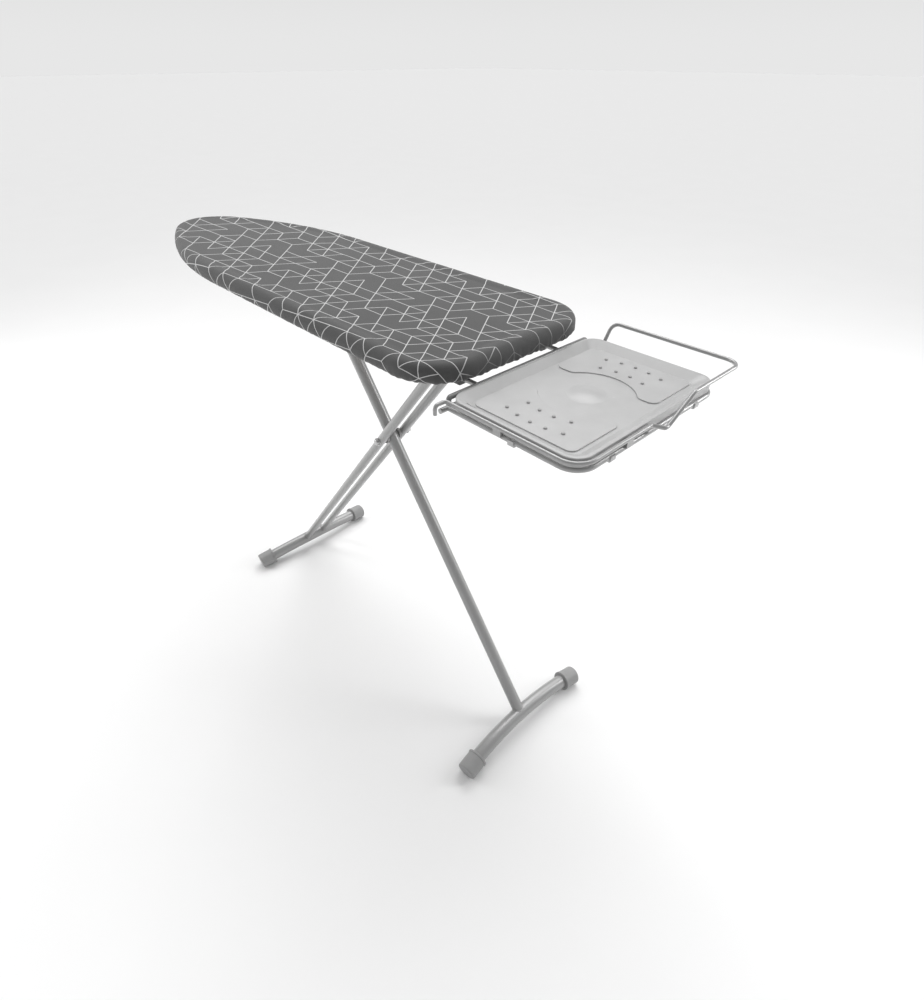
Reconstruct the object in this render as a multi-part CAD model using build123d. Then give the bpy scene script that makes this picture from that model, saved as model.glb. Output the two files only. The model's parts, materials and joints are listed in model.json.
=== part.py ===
"""Folding ironing board: padded deck, crossed legs on a height rack, pull-out iron rest."""
import os
from math import asin, cos, degrees, radians, sin, sqrt

from build123d import *

# ---- deck -----------------------------------------------------------------
deck_top = 930.0
nose_x = -710.5
tail_x = 454.5
board_half = 186.0
nose_tip_r = 66.0
nose_tip_turn = 29.0
nose_shoulder_r = 130.0
nose_shoulder_turn = 34.0
tail_corner_r = 90.0
cover_t = 1.0
pad_t = 7.0
sheet_t = 0.7
cover_bottom = 900.0
cover_top_round = 12.0
cover_hem_round = 9.0
hem_width = 30.0
sheet_inset = 3.0
rim_inset = 12.0
rim_r = 8.0
rim_wall = 1.2
elastic_r = 2.0
elastic_inset = 26.5
member_t = 3.0
member_lap = 1.4
cross_members = (
    ("nose_cross_member", -590, -560),
    ("rack_cross_member_rear", -450, -420),
    ("rack_cross_member_front", -70, -40),
    ("hinge_cross_member", 276, 336),
)

# ---- legs -----------------------------------------------------------------
hinge_x = 306.2
hinge_z = 865.0
pivot_x = 94.4
pivot_z = 609.2
front_foot_x = 529.7
rear_foot_x = -394.2
crossbar_z = 885.0
twin_y = 29.3
twin_r = 9.75
twin_wall = 1.2
single_r = 13.0
single_wall = 1.5
foot_r = 16.0
foot_wall = 1.5
foot_half = 190.0
foot_rise = 20.0
foot_end_z = 19.0
cap_r = 22.0
cap_lip_r = 23.5
cap_inner_y = 145.0
foot_tube_y = 172.0
hinge_tube_r = 10.0
hinge_tube_half = 70.0
crossbar_r = 8.0
crossbar_half = 95.0
hinge_wall = 1.5
plug_y = 58.0
pin_r = 6.0
pin_end_y = 79.0
clip_ring_r = 8.5
clip_ring_y0 = 76.0
clip_ring_y1 = 78.2
bracket_y0 = 72.3
bracket_t = 3.0
bracket_half = 26.0
bracket_ear_r = 16.0
bracket_flange = 14.0
bolt_r = 4.0
bolt_fit = 0.1
washer_r = 9.0
washer_t = 1.5
spacer_r = 11.0
head_r = 7.0
head_t = 5.0
nut_r = 7.5
nut_t = 6.5
sleeve_r = 6.0
run_gap = 0.06

# ---- height rack and lever ------------------------------------------------
rack_y = 80.0
rack_t = 2.5
rack_low = 870.0
rack_x0 = -450.0
rack_x1 = -40.0
slot_x0 = -376.0
slot_x1 = -99.0
slot_low = 876.2
slot_high = 895.6
notch_pitch = 32.0
shaft_y = 60.0
shaft_z = 900.0
shaft_r = 4.0
shaft_x0 = -404.0
shaft_x1 = 32.0
bearing_rear_x = -398.0
bearing_front_x = 14.0
bearing_length = 12.0
comb_y = 32.0
comb_low = 896.4
comb_high = 911.0
comb_x0 = -310.0
comb_x1 = -90.0
comb_t = 3.0
arm_r = 3.5
grip_half = 32.0
grip_y0 = -152.0
grip_y1 = -120.0

# ---- iron rest ------------------------------------------------------------
tray_x0 = 463.1
tray_x1 = 690.0
tray_half = 163.0
tray_top = 897.5
tray_low = 884.5
tray_corner = 26.0
tray_wall = 2.5
floor_top = 888.5
pad_rise = 1.8
dome_rise = 3.0
dome_half = 36.0
pad_round = 0.9
tray_centre_x = 578.5
tray_pad_x = 576.0
tray_pad_y = 90.5
tray_pad_length = 176.0
tray_pad_width = 101.0
tray_pad_corner = 12.0
tray_pad_horn = 14.0
pad_ring_r = 70.0
ring_z = 880.5
ring_r = 4.0
ring_x0 = 462.0
ring_x1 = 691.0
ring_half = 162.0
link_x = 456.5
link_z = 892.0
link_half = 157.0
slide_y = 93.0
slide_z = 888.0
slide_r = 4.0
slide_end_x = 205.0
guide_length = 20.0
guide_half = 11.0
guide_low = slide_z - 9.0
guide_front_x = 400.0
guide_rear_x = 340.0
clip_half = 5.0
rail_r = 3.0
rail_z = 893.0
rail_side_y = 167.0
rail_right_x = 694.5
rail_out_x = 707.5
rail_high = 920.0
rail_far_y = foot_half - rail_r

sheet_top = deck_top - cover_t - pad_t
sheet_low = sheet_top - sheet_t
rim_z = sheet_low - rim_r
member_low = sheet_low - member_t

UP = (Align.CENTER, Align.CENTER, Align.MIN)


def rod(start, end, radius, bore=0.0):
    """Round bar between two points, hollow when a bore is given."""
    origin = Vector(*start)
    span = Vector(*end) - origin
    bar = Cylinder(radius, span.length, align=UP)
    if bore:
        bar -= Cylinder(bore, span.length, align=UP)
    return Plane(origin=origin, z_dir=span) * bar


def cross_rod(x, z, y0, y1, radius, bore=0.0):
    """Round bar running across the board."""
    return rod((x, y0, z), (x, y1, z), radius, bore)


def block(x0, x1, y0, y1, z0, z1):
    """Box given by its limits."""
    middle = ((x0 + x1) / 2, (y0 + y1) / 2, (z0 + z1) / 2)
    return Pos(*middle) * Box(x1 - x0, y1 - y0, z1 - z0)


def bent_wire(points, bend, radius):
    """Wire through the points with every corner rounded."""
    corners = [Vector(*p) for p in points]
    edges = []
    start = corners[0]
    for before, corner, after, r in zip(corners, corners[1:], corners[2:], bend):
        a = (before - corner).normalized()
        b = (after - corner).normalized()
        half = radians(a.get_angle(b)) / 2
        reach = r * cos(half) / sin(half)
        middle = corner + (a + b).normalized() * (r / sin(half) - r)
        edges.append(Line(start, corner + a * reach))
        edges.append(ThreePointArc(corner + a * reach, middle, corner + b * reach))
        start = corner + b * reach
    edges.append(Line(start, corners[-1]))
    path = Wire(edges)
    section = Plane(origin=path @ 0, z_dir=path % 0) * Circle(radius)
    return sweep(section, path=path)


def mirrored(shape):
    """The same shape on the other side of the board's centre line."""
    return mirror(shape, about=Plane.XZ)


# ---- outline of the deck --------------------------------------------------
def half_outline():
    """Far half of the deck's edge: three nose arcs, a straight side, the tail corner."""
    tip = JernArc((nose_x, 0), (0, 1), nose_tip_r, -nose_tip_turn)
    shoulder = JernArc(tip @ 1, tip % 1, nose_shoulder_r, -nose_shoulder_turn)
    rest = radians(90 - nose_tip_turn - nose_shoulder_turn)
    flank_r = (board_half - (shoulder @ 1).Y) / (1 - cos(rest))
    flank = JernArc(shoulder @ 1, shoulder % 1, flank_r, -degrees(rest))
    side = Line(flank @ 1, (tail_x - tail_corner_r, board_half))
    corner = JernArc(side @ 1, (1, 0), tail_corner_r, -90)
    tail = Line(corner @ 1, (tail_x, 0))
    return [tip, shoulder, flank, side, corner, tail]


def deck_face(inset=0.0):
    """Flat face with the deck's outline, drawn in from the edge."""
    far = Wire(half_outline())
    face = make_face(far.edges() + mirrored(far).edges())
    if inset:
        face = offset(face, amount=-inset, kind=Kind.INTERSECTION)
    return face


def outline_plate(inset, z0, z1):
    """Flat plate with the deck's outline."""
    return Pos(0, 0, z0) * extrude(deck_face(inset), z1 - z0)


def rounded_deck(inset, z0, z1, top_round, low_round):
    """Deck outline with its upper and lower edges rounded over."""
    plate = outline_plate(inset, z0, z1)
    plate = fillet(plate.edges().group_by(Axis.Z)[-1], top_round)
    return fillet(plate.edges().group_by(Axis.Z)[0], low_round)


def outline_ring(inset, z, radius):
    """Round bar following the deck's outline."""
    path = deck_face(inset).face().outer_wire()
    section = Plane(origin=path @ 0, z_dir=path % 0) * Circle(radius)
    return Pos(0, 0, z) * sweep(section, path=path)


def make_deck():
    cavity = rounded_deck(cover_t, cover_bottom + cover_t, deck_top - cover_t,
                          cover_top_round - cover_t, cover_hem_round - cover_t)
    cover = rounded_deck(0, cover_bottom, deck_top, cover_top_round, cover_hem_round)
    cover -= cavity
    cover -= outline_plate(hem_width, cover_bottom - 5, cover_bottom + 5)
    foam = cavity & block(nose_x - 5, tail_x + 5, -200, 200, sheet_top, deck_top)
    parts = {
        "cotton_cover": cover,
        "foam_pad": foam,
        "board_sheet": outline_plate(sheet_inset, sheet_low, sheet_top),
        "rim_tube": outline_ring(rim_inset, rim_z, rim_r) - outline_ring(rim_inset, rim_z, rim_r - rim_wall),
        "cover_elastic": outline_ring(elastic_inset, cover_bottom + cover_t + elastic_r, elastic_r),
    }
    inside = outline_plate(rim_inset + rim_r - member_lap, member_low, sheet_low)
    for name, x0, x1 in cross_members:
        parts[name] = inside & block(x0, x1, -200, 200, member_low, sheet_low)
    return parts


# ---- legs -----------------------------------------------------------------
PIVOT = Vector(pivot_x, 0, pivot_z)
HINGE = Vector(hinge_x, 0, hinge_z)
FRONT_END = Vector(front_foot_x, 0, foot_end_z)
REAR_END = Vector(rear_foot_x, 0, foot_end_z)
FRONT_DIR = (FRONT_END - PIVOT).normalized()
REAR_DIR = (REAR_END - PIVOT).normalized()
FRONT_JOINT = FRONT_END - FRONT_DIR * foot_rise
REAR_JOINT = REAR_END - REAR_DIR * foot_rise
CROSSBAR = PIVOT - FRONT_DIR * ((crossbar_z - pivot_z) / -FRONT_DIR.Z)
arch_r = (foot_half ** 2 + foot_rise ** 2) / (2 * foot_rise)


def arch_point(joint, way, y):
    """Point on a foot's arched centre line."""
    drop = arch_r - sqrt(arch_r ** 2 - y ** 2)
    return joint + way * drop + Vector(0, y, 0)


def arch_bar(joint, way, radius, half):
    """Round bar along a foot's arch."""
    path = ThreePointArc(arch_point(joint, way, -half), joint, arch_point(joint, way, half))
    section = Plane(origin=path @ 0, z_dir=path % 0) * Circle(radius)
    return sweep(section, path=path)


def foot_tube(joint, way):
    outer = arch_bar(joint, way, foot_r, foot_tube_y)
    return outer - arch_bar(joint, way, foot_r - foot_wall, foot_tube_y)


def foot_cap(joint, way, bar):
    """Plastic cap on the far end of a foot, with a lip and a flat sole."""
    inner = arch_point(joint, way, cap_inner_y)
    outer = arch_point(joint, way, foot_half - 3)
    along = (outer - inner).normalized()
    sleeve = Cylinder(cap_r, (outer - inner).length, align=UP)
    sleeve = fillet(sleeve.edges().group_by(Axis.Z)[-1], 4)
    lip = Cylinder(cap_lip_r, 5, align=UP)
    lip = fillet(lip.edges(), 1.5)
    cap = Plane(origin=inner, z_dir=along) * (sleeve + lip)
    cap &= block(joint.X - 150, joint.X + 150, 0, foot_half, 0, 200)
    return cap - bar


def make_outer_leg():
    hinge_core = cross_rod(hinge_x, hinge_z, -hinge_tube_half, hinge_tube_half, hinge_tube_r)
    foot_core = arch_bar(REAR_JOINT, REAR_DIR, foot_r, foot_tube_y)
    side = Vector(0, twin_y, 0)
    far_tube = rod(HINGE + side, REAR_JOINT + side, twin_r, twin_r - twin_wall)
    far_tube -= hinge_core
    far_tube -= foot_core
    far_tube -= cross_rod(pivot_x, pivot_z, 0, 60, bolt_r + bolt_fit)
    outer_y = twin_y + twin_r
    inner_y = twin_y - twin_r
    seat_y = outer_y + washer_t
    pin = cross_rod(hinge_x, hinge_z, plug_y, hinge_tube_half, hinge_tube_r - hinge_wall)
    pin += cross_rod(hinge_x, hinge_z, hinge_tube_half, pin_end_y, pin_r)
    pin += cross_rod(hinge_x, hinge_z, clip_ring_y0, clip_ring_y1, clip_ring_r)
    washer = cross_rod(pivot_x, pivot_z, outer_y, seat_y, washer_r, bolt_r + bolt_fit)
    spacer = cross_rod(pivot_x, pivot_z, single_r + 0.3, inner_y, spacer_r, bolt_r + bolt_fit)
    head = cross_rod(pivot_x, pivot_z, -seat_y - head_t, -seat_y, head_r)
    head = fillet(head.edges().sort_by(Axis.Y)[0], head_t / 2)
    shank = cross_rod(pivot_x, pivot_z, -seat_y, outer_y + 10, bolt_r)
    hexagon = extrude(RegularPolygon(nut_r, 6), nut_t)
    nut = Plane(origin=(pivot_x, seat_y, pivot_z), z_dir=(0, 1, 0)) * hexagon
    nut -= cross_rod(pivot_x, pivot_z, outer_y, outer_y + 20, bolt_r)
    cap = foot_cap(REAR_JOINT, REAR_DIR, foot_core)
    return {
        "outer_leg_tube_far": far_tube,
        "outer_leg_tube_near": mirrored(far_tube),
        "outer_hinge_tube": cross_rod(hinge_x, hinge_z, -hinge_tube_half, hinge_tube_half,
                                      hinge_tube_r, hinge_tube_r - hinge_wall),
        "hinge_pin_far": pin,
        "hinge_pin_near": mirrored(pin),
        "outer_foot_tube": foot_tube(REAR_JOINT, REAR_DIR),
        "outer_foot_cap_far": cap,
        "outer_foot_cap_near": mirrored(cap),
        "pivot_bolt": head + shank,
        "pivot_nut": nut,
        "pivot_washers": Compound([washer, mirrored(washer)]),
        "pivot_spacers": Compound([spacer, mirrored(spacer)]),
    }


def make_inner_leg():
    bar_core = cross_rod(CROSSBAR.X, crossbar_z, -crossbar_half, crossbar_half, crossbar_r)
    foot_core = arch_bar(FRONT_JOINT, FRONT_DIR, foot_r, foot_tube_y)
    tube = rod(CROSSBAR, FRONT_JOINT, single_r, single_r - single_wall)
    tube -= bar_core
    tube -= cross_rod(FRONT_JOINT.X, FRONT_JOINT.Z, -30, 30, foot_r)
    tube -= cross_rod(pivot_x, pivot_z, -20, 20, sleeve_r)
    lips = rod(CROSSBAR, FRONT_JOINT, single_r)
    sleeve = cross_rod(pivot_x, pivot_z, -20, 20, sleeve_r, bolt_r + run_gap) & lips
    bar_cap = cross_rod(CROSSBAR.X, crossbar_z, rack_y + 3, crossbar_half + 2, 12)
    bar_cap = fillet(bar_cap.edges(), 1.5) - bar_core
    cap = foot_cap(FRONT_JOINT, FRONT_DIR, foot_core)
    return {
        "inner_leg_tube": tube,
        "pivot_sleeve": sleeve,
        "inner_foot_tube": foot_tube(FRONT_JOINT, FRONT_DIR),
        "inner_foot_cap_far": cap,
        "inner_foot_cap_near": mirrored(cap),
        "rack_crossbar": cross_rod(CROSSBAR.X, crossbar_z, -crossbar_half, crossbar_half,
                                   crossbar_r, crossbar_r - 1.5),
        "crossbar_cap_far": bar_cap,
        "crossbar_cap_near": mirrored(bar_cap),
    }


# ---- brackets, rack and lever --------------------------------------------
def make_rack():
    """Far rack plate: a long slot with height notches above it, and a top flange."""
    rack = block(rack_x0, rack_x1, rack_y, rack_y + rack_t, rack_low, member_low)
    rack = fillet(rack.edges().filter_by(Axis.Y).group_by(Axis.Z)[0], 12)
    rack += block(rack_x0, rack_x1, rack_y, rack_y + 18, member_low - rack_t, member_low)
    rack -= block(slot_x0, slot_x1, rack_y - 5, rack_y + 5, slot_low, slot_high)
    count = int((slot_x1 - slot_x0) // notch_pitch)
    for i in range(count):
        x = CROSSBAR.X - notch_pitch * i
        rack -= cross_rod(x, slot_high - 4, rack_y - 5, rack_y + 5, crossbar_r + 1)
    return rack


def make_bracket():
    """Far hinge bracket: an ear round the hinge pin below a screwed flange."""
    y0 = bracket_y0
    y1 = bracket_y0 + bracket_t
    x0 = hinge_x - bracket_half
    x1 = hinge_x + bracket_half
    shoulder_z = hinge_z + 25
    waist = bracket_ear_r - 1
    ear = cross_rod(hinge_x, hinge_z, y0, y1, bracket_ear_r)
    ear += block(x0, x1, y0, y1, shoulder_z, member_low)
    web = Polyline((x0, shoulder_z), (hinge_x - waist, hinge_z + 5),
                   (hinge_x + waist, hinge_z + 5), (x1, shoulder_z), close=True)
    ear += Plane(origin=(0, y1, 0), x_dir=(1, 0, 0), z_dir=(0, -1, 0)) * extrude(make_face(web), bracket_t)
    ear += block(x0, x1, y0, y1 + bracket_flange, member_low - bracket_t, member_low)
    return ear - cross_rod(hinge_x, hinge_z, y0 - 1, y1 + 1, pin_r + run_gap)


def slide_guide(x0, y):
    """Plastic guide block for one slide rod."""
    guide = block(x0, x0 + guide_length, y - guide_half, y + guide_half, guide_low, sheet_low)
    guide = fillet(guide.edges().filter_by(Axis.X).group_by(Axis.Z)[0], 5)
    return guide - rod((x0 - 1, y, slide_z), (x0 + guide_length + 1, y, slide_z), slide_r + run_gap)


def shaft_bearing(x0):
    """Saddle holding the lever's shaft under the sheet."""
    saddle = block(x0, x0 + bearing_length, shaft_y - 9, shaft_y + 9, shaft_z - 9, sheet_low)
    saddle = fillet(saddle.edges().filter_by(Axis.X).group_by(Axis.Z)[0], 6)
    bore_end = x0 + bearing_length + 1
    return saddle - rod((x0 - 1, shaft_y, shaft_z), (bore_end, shaft_y, shaft_z), shaft_r + run_gap)


def rivet(x, y, z, radius=3.5):
    """Domed rivet head hanging below a flange."""
    head = Cylinder(radius, 1.8, align=UP)
    head = fillet(head.edges().group_by(Axis.Z)[0], 1.4)
    return Pos(x, y, z - 1.8) * head


def make_under_deck():
    rack = make_rack()
    bracket = make_bracket()
    heads = []
    for x in (rack_x0 + 15, rack_x1 - 15):
        heads.append(rivet(x, rack_y + 10, member_low - rack_t))
    for x in (hinge_x - 17, hinge_x + 17):
        heads.append(rivet(x, 83, member_low - bracket_t))
    heads += [mirrored(h) for h in heads]
    screws = []
    for x in (guide_front_x + guide_length / 2, guide_rear_x + guide_length / 2):
        for y in (slide_y, -slide_y):
            screws.append(rivet(x, y, guide_low, 3.0))
    helix = Helix(pitch=2.4, height=12, radius=6.2)
    coil_section = Plane(origin=helix @ 0, z_dir=helix % 0) * Circle(0.8)
    coil = Plane(origin=(-16, shaft_y, shaft_z), z_dir=(1, 0, 0)) * sweep(coil_section, path=helix)
    return {
        "height_rack_far": rack,
        "height_rack_near": mirrored(rack),
        "hinge_bracket_far": bracket,
        "hinge_bracket_near": mirrored(bracket),
        "slide_guide_front_far": slide_guide(guide_front_x, slide_y),
        "slide_guide_front_near": slide_guide(guide_front_x, -slide_y),
        "slide_guide_rear_far": slide_guide(guide_rear_x, slide_y),
        "slide_guide_rear_near": slide_guide(guide_rear_x, -slide_y),
        "lever_bearing_front": shaft_bearing(bearing_front_x),
        "lever_bearing_rear": shaft_bearing(bearing_rear_x),
        "frame_rivets": Compound(heads),
        "guide_screws": Compound(screws),
        "lever_spring": coil,
    }


def make_lever():
    shaft = rod((shaft_x0, shaft_y, shaft_z), (shaft_x1, shaft_y, shaft_z), shaft_r)
    comb = block(comb_x0, comb_x1, comb_y, comb_y + comb_t, comb_low, comb_high)
    for i in range(6):
        x = CROSSBAR.X - notch_pitch * i
        comb -= cross_rod(x, comb_low - 1, comb_y - 1, comb_y + comb_t + 1, crossbar_r)
    for x in (-300, -115):
        comb += block(x, x + 14, comb_y, shaft_y, shaft_z - 1.5, shaft_z + 1.5)
    comb -= shaft
    arm = rod((0, shaft_y, shaft_z), (0, grip_y1 - 8, shaft_z), arm_r)
    arm -= shaft
    grip = block(-grip_half, grip_half, grip_y0, grip_y1, shaft_z - 16, shaft_z + 4)
    grip = fillet(grip.edges().filter_by(Axis.X), 6)
    grip = fillet(grip.edges().group_by(Axis.X)[0] + grip.edges().group_by(Axis.X)[-1], 2)
    grip -= arm
    return {"lever_shaft": shaft, "lever_comb": comb, "lever_arm": arm, "lever_grip": grip}


# ---- iron rest ------------------------------------------------------------
def tray_slab(inset, z0, z1, corner):
    """Rounded block concentric with the tray."""
    middle = (tray_x0 + tray_x1) / 2
    face = RectangleRounded(tray_x1 - tray_x0 - 2 * inset, 2 * (tray_half - inset), corner)
    return Pos(middle, 0, z0) * extrude(face, z1 - z0)


def tray_bowl(top_inset, top_z, low_inset, low_z, top_corner, low_corner):
    """Rounded funnel concentric with the tray."""
    middle = (tray_x0 + tray_x1) / 2
    length = tray_x1 - tray_x0
    upper = RectangleRounded(length - 2 * top_inset, 2 * (tray_half - top_inset), top_corner)
    lower = RectangleRounded(length - 2 * low_inset, 2 * (tray_half - low_inset), low_corner)
    return loft([Pos(middle, 0, low_z) * lower, Pos(middle, 0, top_z) * upper])


def tray_pad():
    """Raised pad on the far half of the tray floor, cut back round the centre circle."""
    face = RectangleRounded(tray_pad_length, tray_pad_width, tray_pad_corner)
    pad = Pos(tray_pad_x, tray_pad_y, floor_top) * extrude(face, pad_rise)
    pad -= Pos(tray_centre_x, 0, floor_top - 1) * Cylinder(pad_ring_r, 5, align=UP)
    corners = [e for e in pad.edges().filter_by(Axis.Z) if 500 < e.center().X < 650 and e.center().Y < 60]
    pad = fillet(corners, tray_pad_horn)
    return fillet(pad.edges().group_by(Axis.Z)[-1], pad_round)


def tray_dome():
    """Low swelling in the middle of the tray that runs out smoothly into the floor."""
    foot = -0.2
    arc_r = (dome_half ** 2 / 4 + dome_rise ** 2 / 4) / dome_rise
    turn = asin(dome_half / 2 / arc_r) / 2
    crown = ThreePointArc(
        (0, foot + dome_rise),
        (arc_r * sin(turn), foot + dome_rise - arc_r * (1 - cos(turn))),
        (dome_half / 2, foot + dome_rise / 2),
    )
    skirt = ThreePointArc(
        (dome_half / 2, foot + dome_rise / 2),
        (dome_half - arc_r * sin(turn), foot + arc_r * (1 - cos(turn))),
        (dome_half, foot),
    )
    base = Polyline((dome_half, foot), (dome_half, -1), (0, -1), (0, foot + dome_rise))
    section = make_face([crown, skirt] + base.edges())
    return Pos(tray_centre_x, 0, floor_top) * revolve(Plane.XZ * section, Axis.Z)


def make_tray():
    tray = tray_slab(0, tray_low, tray_top, tray_corner)
    tray = fillet(tray.edges().group_by(Axis.Z)[-1], 1.2)
    tray -= tray_bowl(5, tray_top, 20, floor_top, 21, 14)
    under = tray_slab(tray_wall, tray_low - 1, tray_top - tray_wall, tray_corner - tray_wall)
    under -= tray_bowl(3.2, tray_top - 1, 21, floor_top - tray_wall, 22, 13)
    tray -= under
    tray -= tray_slab(23, floor_top - 10, floor_top - tray_wall, 10)
    pad = tray_pad()
    tray += pad
    tray += mirrored(pad)
    tray += tray_dome()
    tray -= Pos(496.5, -150, tray_low) * extrude(SlotOverall(20, 4), tray_top - tray_low)
    stud = Cylinder(2.6, 2.2, align=UP)
    stud = fillet(stud.edges().group_by(Axis.Z)[-1], 1.2)
    level = floor_top + pad_rise
    spots = []
    for offset, y in ((-49, 114), (-24.5, 120), (0, 122), (24.5, 120), (49, 114)):
        spots.append((tray_centre_x + offset, y))
    for offset, y in ((-37.5, 83), (-12.5, 88.5), (12.5, 88.5), (37.5, 83)):
        spots.append((tray_centre_x + offset, y))
    studs = [Pos(x, y, level) * stud for x, y in spots]
    studs += [Pos(x, -y, level) * stud for x, y in spots]
    return {"iron_tray": tray, "tray_studs": Compound(studs)}


def snap_clip(turn, x, y):
    """Clip that hangs under the tray and snaps round the ring frame."""
    clip = block(-10, 5.5, -clip_half, clip_half, -6, 3)
    clip += block(-10, -5, -clip_half, clip_half, 3, 11)
    clip = fillet(clip.edges().filter_by(Axis.Y).group_by(Axis.Z)[0], 3)
    clip -= rod((0, -8, 0), (0, 8, 0), ring_r)
    return Pos(x, y, ring_z) * Rot(0, 0, turn) * clip


def make_rest_frame():
    front = cross_rod(ring_x0, ring_z, -177, ring_half + 8, ring_r)
    ring = bent_wire(
        [(ring_x0, -ring_half, ring_z), (ring_x1, -ring_half, ring_z),
         (ring_x1, ring_half, ring_z), (ring_x0, ring_half, ring_z)],
        [30, 30], ring_r,
    )
    ring -= front
    slide = bent_wire(
        [(slide_end_x, slide_y, slide_z), (446, slide_y, slide_z), (ring_x0 - 1.5, slide_y, ring_z + 0.7)],
        [8], slide_r,
    )
    slide -= front
    link = bent_wire(
        [(link_x + 2, -link_half, ring_z + 2), (link_x, -link_half, link_z),
         (link_x, link_half, link_z), (link_x + 2, link_half, ring_z + 2)],
        [6, 6], ring_r,
    )
    link -= front + slide + mirrored(slide)
    collar = rod((slide_end_x, slide_y, slide_z), (slide_end_x + 8, slide_y, slide_z), 7)
    collar -= slide
    rail = bent_wire(
        [(463, 3 - foot_half, 879), (463, 3 - foot_half, rail_z), (463, -rail_side_y, rail_z),
         (rail_right_x, -rail_side_y, rail_z), (rail_right_x, -17, rail_z),
         (rail_out_x, -4, 889), (rail_out_x, 3, 889), (rail_out_x, 57, rail_high),
         (rail_out_x, rail_far_y, rail_high), (486, rail_far_y, rail_high),
         (486, 169, 892), (486, 169, 881)],
        [6, 6, 30, 6, 4, 5, 12, 22, 14, 8], rail_r,
    )
    near_tab = block(555, 569, -168, -165.4, 881, 891) - ring - rail
    right_tab = block(693.6, 696, -72, -58, 881, 891) - ring - rail
    clips = [snap_clip(0, ring_x1, -100), snap_clip(0, ring_x1, 100),
             snap_clip(90, 586, ring_half), snap_clip(-90, 586, -ring_half)]
    return {
        "ring_frame": ring,
        "ring_front_rod": front,
        "link_bar": link,
        "slide_rod_far": slide,
        "slide_rod_near": mirrored(slide),
        "stop_collar_far": collar,
        "stop_collar_near": mirrored(collar),
        "rail_wire": rail,
        "rail_tabs": Compound([near_tab, right_tab]),
        "tray_clips": Compound(clips),
    }


def main():
    os.makedirs("parts", exist_ok=True)
    nodes = {}
    for group in (make_deck, make_outer_leg, make_inner_leg, make_under_deck, make_lever,
                  make_tray, make_rest_frame):
        nodes.update(group())
    for name, shape in nodes.items():
        export_step(shape, f"parts/{name}.step")


main()
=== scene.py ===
"""Looks of the folding ironing board: cotton cover, expanded steel deck, lacquered tubes and iron rest."""

import json
import math
import random

import bmesh
import bpy
import numpy as np
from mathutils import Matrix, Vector
from mathutils.geometry import delaunay_2d_cdt


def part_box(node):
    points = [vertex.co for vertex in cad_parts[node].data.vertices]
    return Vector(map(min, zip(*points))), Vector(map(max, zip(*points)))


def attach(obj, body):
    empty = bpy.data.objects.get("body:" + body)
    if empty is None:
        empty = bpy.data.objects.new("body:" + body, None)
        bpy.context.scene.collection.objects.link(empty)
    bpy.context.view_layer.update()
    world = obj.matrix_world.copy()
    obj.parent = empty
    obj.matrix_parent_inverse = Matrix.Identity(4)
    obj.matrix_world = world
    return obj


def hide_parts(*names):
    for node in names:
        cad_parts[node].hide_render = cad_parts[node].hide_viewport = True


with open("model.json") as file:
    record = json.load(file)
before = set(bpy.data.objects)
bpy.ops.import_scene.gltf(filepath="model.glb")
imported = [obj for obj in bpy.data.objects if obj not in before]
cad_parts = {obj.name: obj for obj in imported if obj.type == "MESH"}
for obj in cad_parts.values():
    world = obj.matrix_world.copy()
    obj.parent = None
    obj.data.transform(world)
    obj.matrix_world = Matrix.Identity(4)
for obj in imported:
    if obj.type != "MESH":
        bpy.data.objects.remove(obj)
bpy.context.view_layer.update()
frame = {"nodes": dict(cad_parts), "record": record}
nodes = frame["nodes"]

MM = 0.001

# ---- shape of the deck's edge, the same arcs as the CAD outline -----------
cover_low, cover_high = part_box("cotton_cover")
NOSE_X = cover_low.x
TAIL_X = cover_high.x
HALF = cover_high.y
DECK_TOP = cover_high.z
HEM_Z = cover_low.z
NOSE_TIP_R = 66 * MM
NOSE_TIP_TURN = math.radians(29)
SHOULDER_R = 130 * MM
SHOULDER_TURN = math.radians(34)
TAIL_R = 90 * MM
TOP_ROUND = 12 * MM
HEM_ROUND = 9 * MM
HEM_TUCK = 28 * MM

# ---- the print: places of the deck's corners in steps and rows of the lattice
PRINT_TAIL_FAR = (6.2, -1.8)
PRINT_TAIL_NEAR = (6.45, 11.15)
PRINT_NOSE_FAR = (-13.6, -0.25)
PRINT_NOSE_NEAR = (-15.05, 8.35)
# One repeat is six steps by eight rows. Each row lists, for its six lattice points,
# whether a line leaves it along the row, down to the tail side and down to the nose side.
PRINT_ROWS = (
    ("011111", "111111", "111010"),
    ("111011", "101110", "001011"),
    ("110111", "011011", "111111"),
    ("101011", "110100", "001001"),
    ("010011", "011110", "110101"),
    ("101111", "111110", "011001"),
    ("111110", "111101", "111111"),
    ("001101", "100110", "001111"),
)
PRINT_STEPS = 6
# Measures in lattice steps. The lattice's triangles have equal sides.
ROW_HEIGHT = math.sqrt(0.75)
LINE_HALF = 0.019
LINE_SOFT = 0.006


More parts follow.
